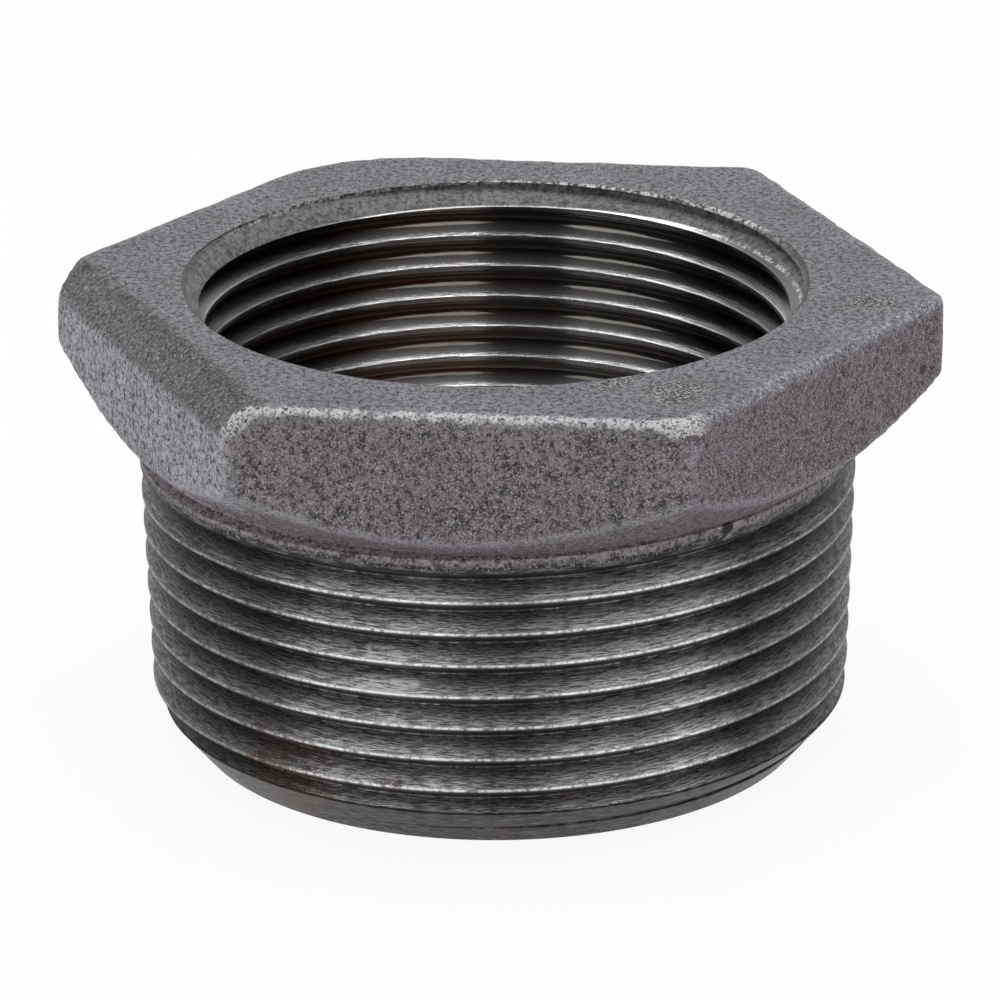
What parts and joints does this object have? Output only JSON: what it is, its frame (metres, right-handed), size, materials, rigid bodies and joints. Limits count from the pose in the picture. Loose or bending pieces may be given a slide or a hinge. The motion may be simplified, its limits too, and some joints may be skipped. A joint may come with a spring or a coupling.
{
  "type": "hex bushing",
  "caption": "Cast iron reducing hex bushing with a tapered outside pipe thread, a tapered inside pipe thread and a hexagon head.",
  "frame": {"origin": "centre of the threaded end, on the surface it stands on", "axes": "+Z along the axis from the threaded end to the hexagon, corners of the hexagon on +X and -X, flats facing +Y and -Y"},
  "size_m": [0.0596, 0.052, 0.0316],
  "materials": {
    "cast_iron": "black oxide over a sand-cast skin, threads bare from the cutter"
  },
  "bodies": {
    "root": {"hex_bushing": "cast_iron"}
  },
  "joints": []
}
